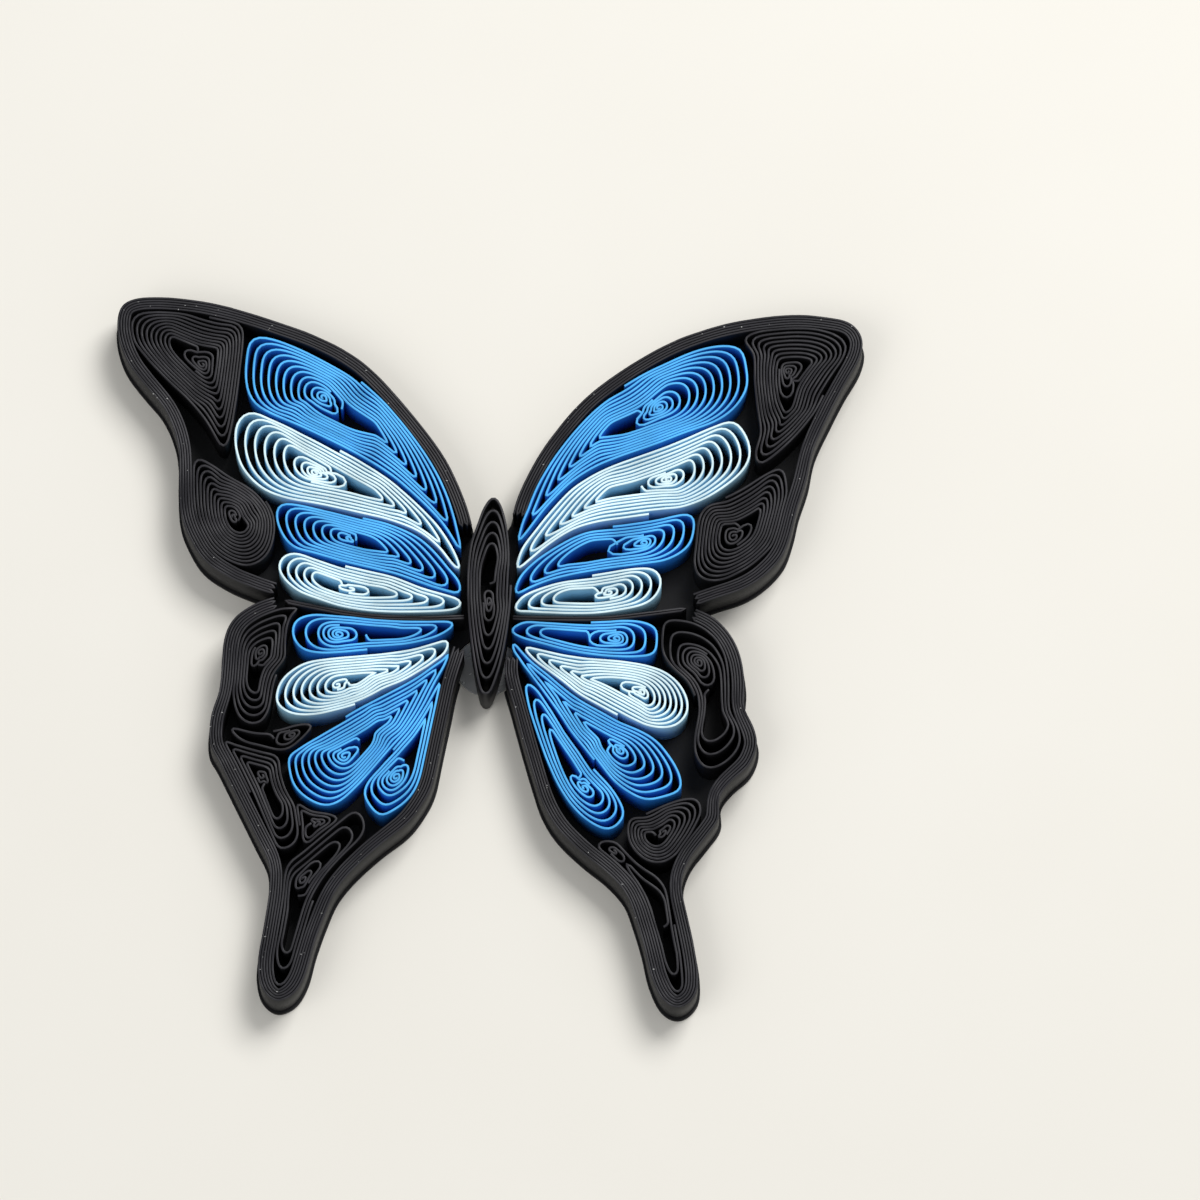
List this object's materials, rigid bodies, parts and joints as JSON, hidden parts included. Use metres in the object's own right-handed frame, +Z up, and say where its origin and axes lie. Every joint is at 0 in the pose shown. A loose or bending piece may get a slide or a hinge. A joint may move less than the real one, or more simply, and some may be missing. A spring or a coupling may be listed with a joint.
{
  "type": "quilled paper butterfly",
  "caption": "Butterfly of quilled paper: blue and pale coils of strip in black rims with two tails, glued on edge to black card, lying face up.",
  "frame": {"origin": "on the surface that the butterfly lies on, under the middle of its outline", "axes": "+Z up out of the coiled face, +Y towards the head, +X towards the wing on the right seen from above"},
  "size_m": [0.0606, 0.0594, 0.0041],
  "materials": {
    "blue_paper": "matte",
    "pale_paper": "matte",
    "black_paper": "matte",
    "black_card": "matte",
    "clear_glue": "gloss"
  },
  "bodies": {
    "root": {"body_coil": "black_paper", "glue_pad": "clear_glue", "left_blue_1": "blue_paper", "left_blue_2": "blue_paper", "left_blue_3": "blue_paper", "left_blue_4": "blue_paper", "left_blue_5": "blue_paper", "left_corner_coil": "black_paper", "left_divider": "black_paper", "left_flank_coil": "black_paper", "left_fore_card": "black_card", "left_fore_rim": "black_paper", "left_heel_coil": "black_paper", "left_hind_card": "black_card", "left_hind_rim": "black_paper", "left_pale_1": "pale_paper", "left_pale_2": "pale_paper", "left_pale_3": "pale_paper", "left_shoulder_coil": "black_paper", "left_tail_coil": "black_paper", "left_tip_coil": "black_paper", "left_wedge_coil": "black_paper", "right_blue_1": "blue_paper", "right_blue_2": "blue_paper", "right_blue_3": "blue_paper", "right_blue_4": "blue_paper", "right_blue_5": "blue_paper", "right_corner_coil": "black_paper", "right_divider": "black_paper", "right_fore_card": "black_card", "right_fore_rim": "black_paper", "right_hind_card": "black_card", "right_hind_rim": "black_paper", "right_knee_coil": "black_paper", "right_pale_1": "pale_paper", "right_pale_2": "pale_paper", "right_pale_3": "pale_paper", "right_shoulder_coil": "black_paper", "right_tail_coil": "black_paper", "right_tip_coil": "black_paper"}
  },
  "joints": []
}
